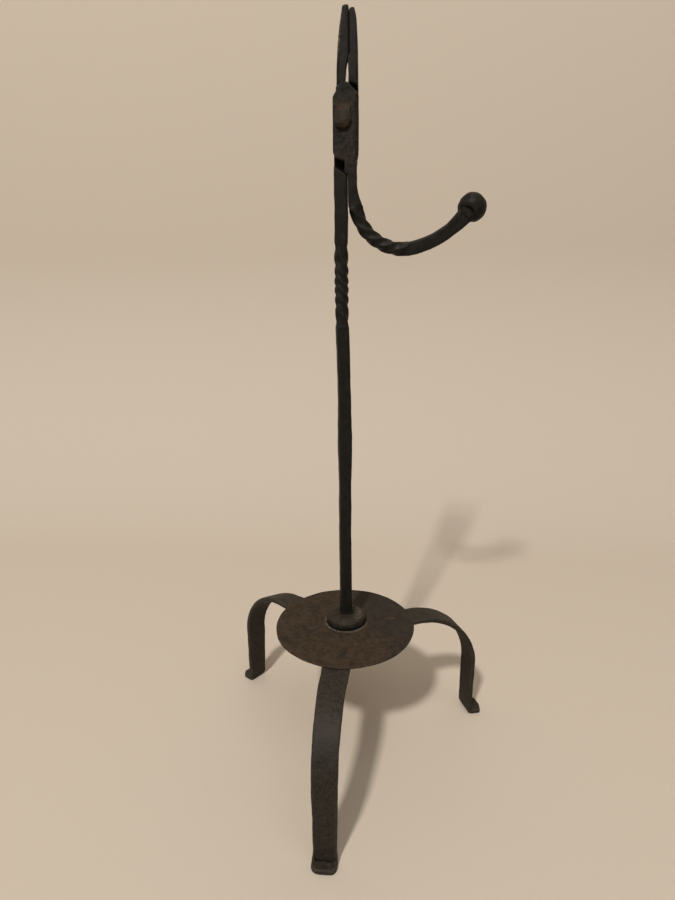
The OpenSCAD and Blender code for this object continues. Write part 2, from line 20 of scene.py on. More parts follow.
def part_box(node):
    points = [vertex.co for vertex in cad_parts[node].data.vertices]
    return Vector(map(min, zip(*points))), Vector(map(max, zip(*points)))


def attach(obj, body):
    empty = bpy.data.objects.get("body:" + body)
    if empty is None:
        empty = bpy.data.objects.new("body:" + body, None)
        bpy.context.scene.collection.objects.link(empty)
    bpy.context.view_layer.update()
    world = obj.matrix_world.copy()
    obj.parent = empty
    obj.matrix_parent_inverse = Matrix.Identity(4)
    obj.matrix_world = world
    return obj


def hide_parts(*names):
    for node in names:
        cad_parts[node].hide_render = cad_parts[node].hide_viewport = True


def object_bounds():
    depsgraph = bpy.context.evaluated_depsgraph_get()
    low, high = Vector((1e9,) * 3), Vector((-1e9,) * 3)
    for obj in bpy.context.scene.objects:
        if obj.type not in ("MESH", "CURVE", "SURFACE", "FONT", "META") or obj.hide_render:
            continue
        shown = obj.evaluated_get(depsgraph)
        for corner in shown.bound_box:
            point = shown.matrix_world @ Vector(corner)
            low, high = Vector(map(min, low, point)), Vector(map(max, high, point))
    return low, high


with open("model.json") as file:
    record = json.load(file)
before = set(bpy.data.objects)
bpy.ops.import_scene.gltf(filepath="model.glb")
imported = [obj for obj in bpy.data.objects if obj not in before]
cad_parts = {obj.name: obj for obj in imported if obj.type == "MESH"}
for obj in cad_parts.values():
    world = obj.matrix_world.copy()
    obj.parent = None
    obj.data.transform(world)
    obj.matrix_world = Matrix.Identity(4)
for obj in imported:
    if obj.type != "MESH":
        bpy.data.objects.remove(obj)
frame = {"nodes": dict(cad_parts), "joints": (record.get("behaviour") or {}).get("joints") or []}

MM = 0.001
cad_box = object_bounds()
hinge = Vector(frame["joints"][0]["pos_m"])
STEM_SIDE = Vector((-4.3, 20.3, 0)) * MM
HINGE_X = hinge.x - STEM_SIDE.x
PLATE_CENTRE = STEM_SIDE + Vector((-0.5, -4, 0)) * MM
plate_low, plate_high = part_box("drip_plate")
collar_low, collar_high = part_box("collar")
print("height", round(cad_box[1].z / MM, 1), "mm, hinge at", [round(c / MM, 2) for c in hinge])


# %% [markdown]
# ## The photographer's eye
#
# A camera is three directions and a place. Setting them as the columns of one
# matrix keeps the small roll of a hand-held picture, which aiming at a target
# would lose. The lens is short, because the picture was taken from close by.

# %% Camera
EYE = Vector((16.56, -286.55, 271.51)) * MM
RIGHT = Vector((0.9971, 0.0748, -0.0153))
AHEAD = Vector((-0.0760, 0.9555, -0.2850))

camera_data = bpy.data.cameras.new("camera")
camera_data.sensor_width = 36
camera_data.lens = 24
camera_data.clip_start = 10 * MM
camera = bpy.data.objects.new("camera", camera_data)
bpy.context.scene.collection.objects.link(camera)
ahead = AHEAD.normalized()
right = (RIGHT - RIGHT.project(ahead)).normalized()
turn = Matrix((right, right.cross(ahead), -ahead)).transposed()
camera.matrix_world = Matrix.Translation(EYE) @ turn.to_4x4()
bpy.context.scene.camera = camera
print("the camera looks down by", round(math.degrees(math.asin(-ahead.z)), 1), "degrees")


# %% [markdown]
# ## Node trees as sentences
#
# Drawing a node tree in code is tedious: make a node, find a socket, link it.
# A small wrapper lets the same tree be written as arithmetic. A `Wire` is one
# output socket, and every + or * on it adds a Math node. `Graph.add` makes any
# other node from its type, its settings and what goes into its sockets.

# %% The wrapper
class Wire:
    """One output socket of a node tree, which arithmetic turns into Math nodes."""

    def __init__(self, graph, socket):
        self.graph = graph
        self.socket = socket

    def __getitem__(self, name):
        return Wire(self.graph, self.socket.node.outputs[name])

    def __add__(self, other):
        return self.graph.maths("ADD", self, other)

    def __sub__(self, other):
        return self.graph.maths("SUBTRACT", self, other)

    def __rsub__(self, other):
        return self.graph.maths("SUBTRACT", other, self)

    def __mul__(self, other):
        return self.graph.maths("MULTIPLY", self, other)

    def __truediv__(self, other):
        return self.graph.maths("DIVIDE", self, other)

    def __rtruediv__(self, other):
        return self.graph.maths("DIVIDE", other, self)

    def __pow__(self, other):
        return self.graph.maths("POWER", self, other)

    __radd__ = __add__
    __rmul__ = __mul__

    def held(self):
        """The same value, held between 0 and 1."""
        return self.graph.add("ShaderNodeClamp", values={"Value": self})

    def between(self, low, high):
        """0 under low and 1 over high, with a soft step from one to the other."""
        return self.graph.add(
            "ShaderNodeMapRange",
            {"interpolation_type": "SMOOTHSTEP"},
            {"Value": self, "From Min": low, "From Max": high},
        )


class Graph:
    """A node tree that is written as calls."""

    def __init__(self, tree):
        self.tree = tree
        tree.nodes.clear()

    def add(self, kind, settings=None, values=None):
        """A node of any kind; its settings come first, since they change its sockets."""
        node = self.tree.nodes.new(kind)
        for name, value in (settings or {}).items():
            setattr(node, name, value)
        shown = [s for s in node.inputs if s.enabled]
        for name, value in (values or {}).items():
            socket = shown[name] if isinstance(name, int) else next(s for s in shown if s.name == name)
            if isinstance(value, Wire):
                self.tree.links.new(value.socket, socket)
            else:
                socket.default_value = value
        outputs = [s for s in node.outputs if s.enabled]
        return Wire(self, outputs[0]) if outputs else node

    def maths(self, operation, *terms):
        return self.add("ShaderNodeMath", {"operation": operation}, dict(enumerate(terms)))

    def vector(self, operation, *terms):
        return self.add("ShaderNodeVectorMath", {"operation": operation}, dict(enumerate(terms)))

    def noise(self, place, size, detail=2.0, roughness=0.5):
        """Clouds from 0 to 1 whose lumps are about size across."""
        values = {"Vector": place, "Scale": 1 / size, "Detail": detail, "Roughness": roughness}
        return self.add("ShaderNodeTexNoise", values=values)

    def mix(self, share, first, second):
        """One colour that turns into another as share goes from 0 to 1."""
        values = {"Factor": share, "A": first, "B": second}
        return self.add("ShaderNodeMix", {"data_type": "RGBA"}, values)


# %% [markdown]
# ## A skin of old iron
#
# Forged iron has no single colour. Forge scale is nearly black and satin, old
# rust is brown and matte, and where hands and cloths rub, an arris turns paler
# and smoother. The meshes below carry an attribute named `worn`, which is above
# zero on convex edges and below zero in hollows, so the finish can follow the
# shape without a picture. Hollows are painted nearly black as painted shade, and
# faces that look up are painted paler, partly as dust and partly as painted
# light from above. Small pits come from a bump.

# %% Iron finishes
def colour(red, green, blue):
    return (red, green, blue, 1.0)


def iron(name, scale, rust, rust_share, gloss, rub):
    """Forge scale with patches of rust; gloss is the roughness of the bare scale."""
    material = bpy.data.materials.new(name)
    material.use_nodes = True
    graph = Graph(material.node_tree)
    place = graph.add("ShaderNodeTexCoord")["Object"]
    worn = graph.add("ShaderNodeAttribute", {"attribute_name": "worn"})["Fac"]
    rusted = graph.add("ShaderNodeAttribute", {"attribute_name": "rusted"})["Fac"]
    crust = graph.add("ShaderNodeAttribute", {"attribute_name": "crust"})["Fac"]
    facing = graph.add("ShaderNodeNewGeometry")["Normal"]
    upward_dust_and_light = graph.add("ShaderNodeSeparateXYZ", values={"Vector": facing})["Z"].between(0.5, 0.95)
    patches = graph.noise(place, 14 * MM, 4, 0.6)
    mottle = graph.noise(place, 3 * MM, 5, 0.65)
    grain = graph.noise(place, 0.9 * MM, 4, 0.65)
    rusty = (patches * 0.55 + mottle * 0.45 + rusted).between(0.64 - rust_share, 0.78 - rust_share)
    rubbed = worn.between(0.6, 2.6) * grain.between(0.3, 0.6) * rub
    hollow_shade = (worn * -1).between(0.2, 1.6)
    shade = mottle.between(0.3, 0.7) * 0.5 + grain.between(0.3, 0.7) * 0.5
    dark = graph.mix(shade, colour(*[c * 0.5 for c in scale]), colour(*[c * 1.5 for c in scale]))
    brown = graph.mix(shade, colour(*[c * 0.5 for c in rust]), colour(*[c * 1.5 for c in rust]))
    body = graph.mix(rusty, dark, brown)
    # Faces that look up turn paler: partly dust, partly painted light from above.
    body = graph.mix(upward_dust_and_light * shade * 0.25, body, colour(0.062, 0.048, 0.034))
    body = graph.mix(rubbed, body, colour(0.07, 0.062, 0.05))
    # Painted shade: hollows, and points marked by paint_shade, turn nearly black.
    body = graph.mix(hollow_shade * 0.9, body, colour(0.002, 0.0017, 0.0013))
    # Pale crust, residue and dust, and also the painted highlights and painted light that some meshes mark here.
    body = graph.mix(crust * grain.between(0.4, 0.62), body, colour(0.16, 0.135, 0.1))
    roughness = gloss - 0.2 + rusty * 0.14 + mottle * 0.25 + grain * 0.3 - rubbed * 0.2 + hollow_shade * 0.5
    height = mottle * 0.45 + grain * 0.4 + graph.noise(place, 0.3 * MM, 3) * 0.15
    bump = graph.add("ShaderNodeBump", values={"Strength": 1.0, "Distance": 0.14 * MM, "Height": height})
    surface = graph.add(
        "ShaderNodeBsdfPrincipled",
        values={
            "Base Color": body,
            "Roughness": roughness.held(),
            "Specular IOR Level": 0.13,
            "Normal": bump,
        },
    )
    graph.add("ShaderNodeOutputMaterial", values={"Surface": surface})
    return material


dark_iron = iron("dark_iron", (0.0088, 0.0078, 0.0062), (0.021, 0.0138, 0.0092), 0.08, 0.44, 0.35)
leg_iron = iron("leg_iron", (0.019, 0.0155, 0.0115), (0.0275, 0.019, 0.0128), 0.12, 0.48, 0.3)
rusty_iron = iron("rusty_iron", (0.019, 0.0148, 0.0108), (0.036, 0.0225, 0.0135), 0.2, 0.54, 0.12)
print("finishes:", dark_iron.name, leg_iron.name, rusty_iron.name)


# %% [markdown]
# ## Trees that forge
#
# A smith does two things here again and again: he draws a bar along a path, and
# he hammers a surface. Each is a rule, so each is one Geometry Nodes tree with
# named sizes, used for many pieces.

# %% Helpers for geometry trees
def geometry_graph(name, sizes):
    """A tree with a geometry going in and out, and named sizes going in."""
    tree = bpy.data.node_groups.new(name, "GeometryNodeTree")
    graph = Graph(tree)
    tree.interface.new_socket("Geometry", in_out="INPUT", socket_type="NodeSocketGeometry")
    for label, kind in sizes.items():
        tree.interface.new_socket(label, in_out="INPUT", socket_type="NodeSocket" + kind)
    tree.interface.new_socket("Geometry", in_out="OUTPUT", socket_type="NodeSocketGeometry")
    return graph, graph.add("NodeGroupInput")


def finish_tree(graph, geometry, material):
    """Ends a tree: real geometry with its material."""
    geometry = graph.add("GeometryNodeRealizeInstances", values={"Geometry": geometry})
    geometry = graph.add("GeometryNodeSetMaterial", values={"Geometry": geometry, "Material": material})
    graph.add("NodeGroupOutput", values={"Geometry": geometry})


def attribute(graph, name):
    settings = {"data_type": "FLOAT"}
    return graph.add("GeometryNodeInputNamedAttribute", settings, {"Name": name})["Attribute"]


def link(name, mesh):
    """A new object in the scene that holds a mesh."""
    thing = bpy.data.objects.new(name, mesh)
    bpy.context.scene.collection.objects.link(thing)
    return thing


def settle(thing):
    """The mesh that an object's modifiers make; the object itself goes away."""
    depsgraph = bpy.context.evaluated_depsgraph_get()
    mesh = bpy.data.meshes.new_from_object(thing.evaluated_get(depsgraph), depsgraph=depsgraph)
    name = thing.name
    bpy.data.objects.remove(thing)
    mesh.name = name
    return mesh


def run_tree(mesh, graph, sizes, name="work"):
    """What a tree makes of a mesh."""
    thing = link(name, mesh)
    modifier = thing.modifiers.new("tree", "NODES")
    modifier.node_group = graph.tree
    for item in graph.tree.interface.items_tree:
        if item.in_out == "INPUT" and item.name in sizes:
            modifier[item.identifier] = sizes[item.name]
    return settle(thing)


# %% [markdown]
# ### Drawing a bar along a path
#
# The path is a chain of points, and each point says how thick the bar is there
# (`size`), how far it is twisted (`turn`), how much it is spread sideways
# (`spread`) and how far it strays from its plane (`aside`). `Curve to Mesh` carries a rounded rectangle along the path, and
# the twist is nothing but the curve's tilt. Modelling the ridges of a twist by
# hand would take hours and never be as even.

# %% The tree that draws a bar
bar_graph, sizes_in = geometry_graph(
    "Drawn bar",
    {
        "Width": "Float",
        "Thickness": "Float",
        "Arris": "Float",
        "Azimuth": "Float",
        "Foot": "Vector",
        "Material": "Material",
    },
)
path = bar_graph.add("GeometryNodeMeshToCurve", values={"Mesh": sizes_in["Geometry"]})
path = bar_graph.add(
    "GeometryNodeSetCurveTilt", values={"Curve": path, "Tilt": attribute(bar_graph, "turn")}
)
section = bar_graph.add(
    "GeometryNodeCurvePrimitiveQuadrilateral",
    values={"Width": sizes_in["Thickness"], "Height": sizes_in["Width"]},
)
section = bar_graph.add(
    "GeometryNodeFilletCurve",
    {"mode": "POLY"},
    {"Curve": section, "Count": 5, "Radius": sizes_in["Arris"]},
)
swept = bar_graph.add(
    "GeometryNodeCurveToMesh",
    values={
        "Curve": path,
        "Profile Curve": section,
        "Scale": attribute(bar_graph, "size"),
        "Fill Caps": True,
    },
)
here = bar_graph.add("GeometryNodeInputPosition")
widening = bar_graph.add(
    "ShaderNodeCombineXYZ", values={"X": 1.0, "Y": attribute(bar_graph, "spread"), "Z": 1.0}
)
aside = bar_graph.add("ShaderNodeCombineXYZ", values={"Y": attribute(bar_graph, "aside")})
placed = bar_graph.vector("ADD", bar_graph.vector("MULTIPLY", here, widening), aside)
swept = bar_graph.add("GeometryNodeSetPosition", values={"Geometry": swept, "Position": placed})
round_z = bar_graph.add("ShaderNodeCombineXYZ", values={"Z": sizes_in["Azimuth"]})
swept = bar_graph.add(
    "GeometryNodeTransform",
    values={"Geometry": swept, "Translation": sizes_in["Foot"], "Rotation": round_z},
)
finish_tree(bar_graph, swept, sizes_in["Material"])
print("tree", bar_graph.tree.name, "has", len(bar_graph.tree.nodes), "nodes")


# %% [markdown]
# ### Hammering a surface
#
# Every blow leaves a shallow dish. The distance to the nearest of many scattered
# points, which is what a Voronoi texture gives, is a field of such dishes. The
# iron that a dish loses swells up round it, so the skin keeps its mean size, and
# `keep` holds each piece inside the box of its exact nodes. Where `free` is 0, as
# on the faces that slide in the hinge, nothing moves. The tree ends by measuring
# how far each point stands out from its blurred self, and keeps that as `worn`
# for the finish.

# %% The tree that hammers
hammer_graph, blows_in = geometry_graph(
    "Hammer marks",
    {
        "Blow depth": "Float",
        "Blow size": "Float",
        "Grain": "Vector",
        "Waver": "Float",
        "Waver size": "Float",
        "Swell": "Float",
        "Soften": "Int",
        "Seed": "Float",
        "Material": "Material",
    },
)
spot = hammer_graph.add("GeometryNodeInputPosition")
soft_spot = hammer_graph.add(
    "GeometryNodeBlurAttribute",
    {"data_type": "FLOAT_VECTOR"},
    {"Value": spot, "Iterations": blows_in["Soften"], "Weight": attribute(hammer_graph, "free")},
)
skin = hammer_graph.add(
    "GeometryNodeSetPosition", values={"Geometry": blows_in["Geometry"], "Position": soft_spot}
)
seeded = hammer_graph.vector("ADD", spot, hammer_graph.add("ShaderNodeCombineXYZ", values={
    "X": blows_in["Seed"], "Y": blows_in["Seed"], "Z": blows_in["Seed"]}))
stretched = hammer_graph.vector("MULTIPLY", seeded, blows_in["Grain"])
blow = hammer_graph.add(
    "ShaderNodeTexVoronoi", values={"Vector": stretched, "Scale": 1 / blows_in["Blow size"]}
)["Distance"]
dish = 1 - (blow * 1.7).held() ** 2
waver = hammer_graph.noise(seeded, blows_in["Waver size"], 1.0)
depth = dish * blows_in["Blow depth"] + waver.between(0.3, 0.7) * blows_in["Waver"] - blows_in["Swell"]
inwards = depth * attribute(hammer_graph, "free") * -1
normal = hammer_graph.add("GeometryNodeInputNormal")
offset = hammer_graph.add(
    "ShaderNodeVectorMath", {"operation": "SCALE"}, {"Vector": normal, "Scale": inwards}
)
skin = hammer_graph.add("GeometryNodeSetPosition", values={"Geometry": skin, "Offset": offset})
blurred = hammer_graph.add(
    "GeometryNodeBlurAttribute", {"data_type": "FLOAT_VECTOR"}, {"Value": spot, "Iterations": 10}
)
proud = hammer_graph.vector("DOT_PRODUCT", hammer_graph.vector("SUBTRACT", spot, blurred), normal)["Value"]
skin = hammer_graph.add(
    "GeometryNodeStoreNamedAttribute",
    {"data_type": "FLOAT", "domain": "POINT"},
    {"Geometry": skin, "Name": "worn", "Value": proud / (0.1 * MM)},
)
skin = hammer_graph.add("GeometryNodeSetShadeSmooth", values={"Geometry": skin})
finish_tree(hammer_graph, skin, blows_in["Material"])
print("tree", hammer_graph.tree.name, "has", len(hammer_graph.tree.nodes), "nodes")


# %% [markdown]
# ## From pieces to one skin
#
# The sweep gives a bar, and the head of the stem, with its lap and jaw, is cut
# from the exact node, because it carries the fits. Boolean tools trip over
# faces that nearly coincide. A voxel remesh doesn't: it keeps only the outer
# surface of all that overlaps and covers it with small even squares, which is
# just what the hammer tree needs.

# %% Helpers for skins
def points_of(mesh):
    flat = np.empty(len(mesh.vertices) * 3, np.float32)
    mesh.vertices.foreach_get("co", flat)
    return flat.reshape(-1, 3)


def put_points(mesh, points):
    mesh.vertices.foreach_set("co", np.ascontiguousarray(points, np.float32).ravel())
    mesh.update()


def cut_node(name, low=None, high=None):
    """A closed copy of a CAD node, or of the slice of it between two heights."""
    work = bmesh.new()
    work.from_mesh(frame["nodes"][name].data)
    bmesh.ops.remove_doubles(work, verts=work.verts, dist=0.001 * MM)
    for height, direction in ((low, -1), (high, 1)):
        if height is None:
            continue
        every = work.verts[:] + work.edges[:] + work.faces[:]
        bmesh.ops.bisect_plane(
            work, geom=every, plane_co=(0, 0, height), plane_no=(0, 0, direction), clear_outer=True
        )
        rim = [edge for edge in work.edges if edge.is_boundary]
        bmesh.ops.holes_fill(work, edges=rim)
    mesh = bpy.data.meshes.new(name + "_cut")
    work.to_mesh(mesh)
    work.free()
    return mesh


def one_skin(name, parts, voxel):
    """The outer surface of several closed meshes that overlap, in even squares."""
    work = bmesh.new()
    for part in parts:
        work.from_mesh(part)
    mesh = bpy.data.meshes.new(name)
    work.to_mesh(mesh)
    work.free()
    thing = link(name, mesh)
    remesh = thing.modifiers.new("even", "REMESH")
    remesh.mode = "VOXEL"
    remesh.voxel_size = voxel
    return settle(thing)


def hammer(mesh, name, material, free=None, **blows):
    """A skin with hammer marks; free says for each point how far it may give way."""
    share = np.ones(len(mesh.vertices), np.float32) if free is None else free
    layer = mesh.attributes.new("free", "FLOAT", "POINT")
    layer.data.foreach_set("value", np.ascontiguousarray(share, np.float32))
    sizes = {
        "Blow depth": 0.16 * MM,
        "Blow size": 6 * MM,
        "Grain": (1.0, 1.0, 1.0),
        "Waver": 0.15 * MM,
        "Waver size": 14 * MM,
        "Swell": 0.16 * MM,
        "Soften": 2,
        "Seed": 0.0,
        "Material": material,
    }
    sizes.update({label.replace("_", " ").capitalize(): value for label, value in blows.items()})
    return run_tree(mesh, hammer_graph, sizes, name)


def rub_arrises(mesh, limits):
    """Rubs each ring of a drawn bar down to its own greatest radius."""
    rings = points_of(mesh).astype(float).reshape(len(limits), -1, 3)
    middles = rings.mean(axis=1, keepdims=True)
    radius = np.linalg.norm(rings - middles, axis=2, keepdims=True)
    rubbed = np.minimum(1, limits[:, None, None] / radius)
    put_points(mesh, (middles + (rings - middles) * rubbed).reshape(-1, 3))


def cut_arris(mesh, sign, sides, size):
    """Cuts the front arris of the nip, on the right for sign 1 and on the left for -1.

    The pairs in sides are a height over the hinge and how far out the side is
    there. It gives back how much was cut from each point.
    """
    points = points_of(mesh).astype(float)
    x, y, z = (points - np.array(hinge)).T
    heights, out = np.array(sides).T * MM
    there = step(z, heights[0] - 1 * MM, heights[0]) * (1 - step(z, heights[-1], heights[-1] + 1 * MM))
    front = y[there > 0.5].min()
    inside = sign * (np.interp(z, heights, out) - x) + (y - front)
    cut = np.clip(size - inside, 0, size) * there / 2
    points[:, 0] -= sign * cut
    points[:, 1] += cut
    put_points(mesh, points)
    return cut / size


def paint(mesh, name, values):
    """Gives each point of a mesh a number that the finish can read."""
    layer = mesh.attributes.new(name, "FLOAT", "POINT")
    layer.data.foreach_set("value", np.ascontiguousarray(values, np.float32))


def paint_shade(mesh, share):
    """Marks points as hollows, which the finish paints nearly black as painted shade; share is 1 for all of it."""
    worn = np.empty(len(mesh.vertices), np.float32)
    layer = mesh.attributes["worn"]
    layer.data.foreach_get("value", worn)
    layer.data.foreach_set("value", (worn * (1 - share) - 2 * share).astype(np.float32))


def keep(mesh, name, body, slot, *nodes, spare=0.0):
    """Gives the finished piece its name and its body, and hides the nodes it stands for.

    It may leave the box of its nodes by spare, but never the box of the holder. The slot is not used.
    """
    corners = np.array([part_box(node) for node in nodes])
    low = np.maximum(corners[:, 0].min(axis=0) - spare, cad_box[0])
    high = np.minimum(corners[:, 1].max(axis=0) + spare, cad_box[1])
    put_points(mesh, np.clip(points_of(mesh), low, high))
    piece = link(name, mesh)
    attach(piece, body)
    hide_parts(*nodes)
    print(name, "has", len(mesh.polygons), "faces")
    return piece


def step(values, low, high):
    """0 under low and 1 over high, smooth between, for an array."""
    t = np.clip((values - low) / (high - low), 0, 1)
    return t * t * (3 - 2 * t)


# %% [markdown]
# ### Paths made of straights and bends
#
# A smith measures bar along its middle: so much straight, then a bend of a
# certain radius. The same list describes the arm and the legs. A piece of it is
# [length, 0] or [radius, degrees], turning to the left when degrees are positive.

# %% Walking along a path
def walk(run, start, heading, pitch):
    """Points in X and Z every pitch along a run, with the distance at each."""
    x, z = start
    places, distance = [(0.0, x, z)], 0.0
    for amount, degrees in run:
        length = amount if degrees == 0 else abs(math.radians(degrees)) * amount
        count = max(1, round(length / pitch))
        for _ in range(count):
            bend = math.radians(degrees) / count
            middle = heading + bend / 2
            chord = length / count if bend == 0 else 2 * amount * math.sin(abs(bend) / 2)
            x += chord * math.cos(middle)
            z += chord * math.sin(middle)
            heading += bend
            distance += length / count
            places.append((distance, x, z))
    return np.array(places)


def chain(name, x, z, **values):
    """A chain of points in the plane of X and Z, each with its named values."""
    mesh = bpy.data.meshes.new(name)
    count = len(x)
    mesh.from_pydata(
        [(float(a), 0.0, float(b)) for a, b in zip(x, z)],
        [(i, i + 1) for i in range(count - 1)],
        [],
    )
    for label, numbers in values.items():
        layer = mesh.attributes.new(label, "FLOAT", "POINT")
        layer.data.foreach_set("value", np.broadcast_to(numbers, count).astype(np.float32))
    return mesh


def twist_share(t, ease=0.4):
    """A twist starts and ends slowly."""
    t = np.clip(t, 0, 1)
    return t - ease * np.sin(2 * np.pi * t) / (2 * np.pi)


# %% [markdown]
# ## The stem
#
# The stem is a quarter-inch square bar. It stands turned by 12 degrees, swells
# a little half way up, takes one and a half left-hand turns under the nip, and
# ends in the fixed jaw. The swept bar covers the plain stretch and the twist.

# %% Stem
BAR = 6.2 * MM
TWIST_TURNS = 1.5
STEM_TWIST_TOP = hinge.z - 55 * MM
STEM_TWIST_LENGTH = 36.6 * MM
TWIST_R = 3.4 * MM
STEM_HEAD_FROM = hinge.z - 42 * MM
FOOT_TURN = math.radians(12)
SWELL_AT = hinge.z - 157 * MM
MEET_X = 2.2 * MM
NECK_LEFT = 1 * MM

heights = np.arange(collar_high.z - 1 * MM, STEM_HEAD_FROM + 1 * MM, 0.5 * MM)
twist_low = STEM_TWIST_TOP - STEM_TWIST_LENGTH
side = np.interp(
    heights,
    [SWELL_AT, twist_low, STEM_TWIST_TOP, STEM_TWIST_TOP + 5 * MM],
    np.array([6.2, 6.2, 6.2, 6.3]) * MM,
)
reach = np.where(heights < SWELL_AT, 17 * MM, 30 * MM)
side += 0.8 * MM * (1 + np.cos(np.pi * np.clip(np.abs(heights - SWELL_AT) / reach, 0, 1))) / 2
sway = np.interp(
    heights,
    [131.6 * MM, SWELL_AT, SWELL_AT + 30 * MM, twist_low, STEM_TWIST_TOP, STEM_HEAD_FROM],
    np.array([0, 0.5, 0.5, -0.2, -0.2, 0.15]) * MM,
)
twist = FOOT_TURN - (2 * np.pi * TWIST_TURNS + FOOT_TURN) * twist_share((heights - twist_low) / STEM_TWIST_LENGTH)
side += 0.7 * MM * np.exp(-(heights - collar_high.z) / (3 * MM))
stem_path = chain("stem_path", sway, heights, size=side / BAR, turn=twist, spread=1.0, aside=0.0)
bar_sizes = {
    "Width": BAR,
    "Thickness": BAR,
    "Arris": 0.9 * MM,
    "Azimuth": 0.0,
    "Foot": STEM_SIDE,
    "Material": dark_iron,
}
stem_bar = run_tree(stem_path, bar_graph, bar_sizes)
stem_share = (heights - twist_low) / STEM_TWIST_LENGTH
rub_arrises(stem_bar, TWIST_R + MM * (step(-stem_share, 0, 0.1) + step(stem_share, 1, 1.1)))
stem_head = cut_node("stem", low=STEM_HEAD_FROM)
stem_foot = cut_node("stem", high=collar_high.z)
stem_skin = one_skin("stem", [stem_bar, stem_head, stem_foot], 0.3 * MM)


def free_of_fits(points):
    """0 on the faces that slide or meet in the nip, and more a little way off them."""
    x, y, z = (points - np.array(hinge)).T
    in_lap = step(z, -25 * MM, -24 * MM) * (1 - step(z, 15.5 * MM, 17 * MM))
    sliding = in_lap * (1 - step(np.abs(y), 0.5 * MM, 1.2 * MM))
    meeting = step(z, 12 * MM, 14 * MM) * (1 - step(np.abs(x - MEET_X), 0.5 * MM, 1.4 * MM))
    beside = step(z, -40 * MM, -38 * MM) * (1 - step(z, -19 * MM, -17 * MM))
    beside *= 1 - step(np.abs(x - NECK_LEFT), 0.4 * MM, 1.2 * MM)
    return (1 - np.maximum.reduce([sliding, meeting, beside])) * (1 - 0.5 * step(z, 10 * MM, 18 * MM))


def narrow_slot(mesh, wall_x, targets):
    """Moves the wall of the slot under the jaws, which stands at wall_x, to its targets."""
    points = points_of(mesh).astype(float)
    x, y, z = (points - np.array(hinge)).T
    levels = SLOT_LEVELS * MM
    now, then = np.interp(z, levels, wall_x * MM), np.interp(z, levels, targets * MM)
    near = 1 - step(np.abs(x - now), 0.5 * MM, 1.6 * MM)
    inside = step(z, levels[0] - 0.6 * MM, levels[0]) * (1 - step(z, levels[-1], levels[-1] + 1 * MM))
    points[:, 0] += (then - now) * near * inside
    put_points(mesh, points)


SLOT_LEVELS = np.array([15.2, 18.0, 21.6, 23.2, 24.6, 25.6])
narrow_slot(stem_skin, np.array([1.93, 1.93, 2.0, 2.11, 2.21, 2.28]), np.array([1.75, 1.85, 1.75, 1.6, 1.7, 2.2]))
cut_arris(stem_skin, 1, [(16, 6.35), (27, 6.5), (36.5, 6.1), (43.4, 5.2)], 1.1 * MM)
stem_marked = hammer(
    stem_skin, "stem", dark_iron, free_of_fits(points_of(stem_skin)),
    grain=(1.0, 1.0, 0.6), blow_size=5 * MM, blow_depth=0.14 * MM, waver=0.12 * MM, swell=0.18 * MM,
)
x, y, z = (points_of(stem_marked) - np.array(hinge)).T
# Painted shade: nearly black in the recess under the arm's lap, half as dark at the root of the fixed jaw.
over_ledge = step(z + 20.3 * MM + 0.66 * (x + 4.8 * MM), 0, 0.4 * MM)
recess_shade = over_ledge * (1 - step(z, -16 * MM, -15 * MM)) * (1 - step(x, 1 * MM, 2 * MM)) * (1 - step(y, 1 * MM, 1.5 * MM))
jaw_root_shade = step(z, 8 * MM, 10 * MM) * (1 - step(z, 15 * MM, 20 * MM)) * (1 - step(y, 1 * MM, 1.5 * MM))
paint_shade(stem_marked, np.maximum(recess_shade, 0.5 * jaw_root_shade))
paint(stem_marked, "rusted", 0.1 * step(z, 20 * MM, 40 * MM) - 0.06 * step(-z, 60 * MM, 90 * MM))
keep(stem_marked, "forged_stem", "stand", "dark_iron", "stem")


# %% [markdown]
# ## The swing arm
#
# The arm is the other half of the nip. From the lap it runs down beside the
# stem, twists where it bends, and rises to the ball. It is thinner sideways at
# its neck, so `spread` keeps the full depth there while `size` follows the width.

# %% Swing arm
ARM_RUN = [(10.2 * MM, 0), (45 * MM, 19), (23.3 * MM, 85), (45 * MM, 34)]
ARM_START = (HINGE_X + 3.15 * MM, hinge.z - 16 * MM)
ARM_LEFT = HINGE_X + 1.1 * MM
ARM_FULL_AT = 21 * MM
ARM_TWIST_FROM = 21 * MM
ARM_TWIST_LENGTH = 36 * MM
ARM_TWIST_TURNS = 1.25
ARM_TWIST_R = 3.3 * MM

arm = walk(ARM_RUN, ARM_START, -math.pi / 2, 0.5 * MM)
along, arm_x, arm_z = arm.T
arm_length = along[-1]
deep = np.interp(
    along,
    np.append(np.array([0, 21]) * MM, [arm_length - 8 * MM, arm_length]),
    np.array([6.8, 6.2, 6.2, 7.6]) * MM,
)
neck = np.minimum(BAR, 2 * (arm_x - ARM_LEFT))
across = np.where(along < ARM_FULL_AT, neck, deep)
arm_share = (along - ARM_TWIST_FROM) / ARM_TWIST_LENGTH
arm_twist = -2 * np.pi * ARM_TWIST_TURNS * twist_share(arm_share, 0.2)
arm_path = chain(
    "arm_path", arm_x, arm_z, size=across / BAR, turn=arm_twist, spread=deep / across, aside=0.0
)
arm_bar = run_tree(arm_path, bar_graph, bar_sizes)
rub_arrises(arm_bar, ARM_TWIST_R + 2 * MM * (step(-arm_share, -0.1, 0.1) + step(arm_share, 0.9, 1.1)))
arm_head = cut_node("swing_arm", low=hinge.z - 26 * MM)
print("the arm is", round(arm_length / MM, 1), "mm long and twists by", 360 * ARM_TWIST_TURNS, "degrees")


# %% [markdown]
# ## Turned and hammered lumps
#
# The ball, the collar, the plate and the rivets are all round things that met a
# hammer. Each starts as an outline spun about an axis. A flat blow then takes
# off all that stands beyond a plane, which leaves the small facets that tell
# hand work from turned work.

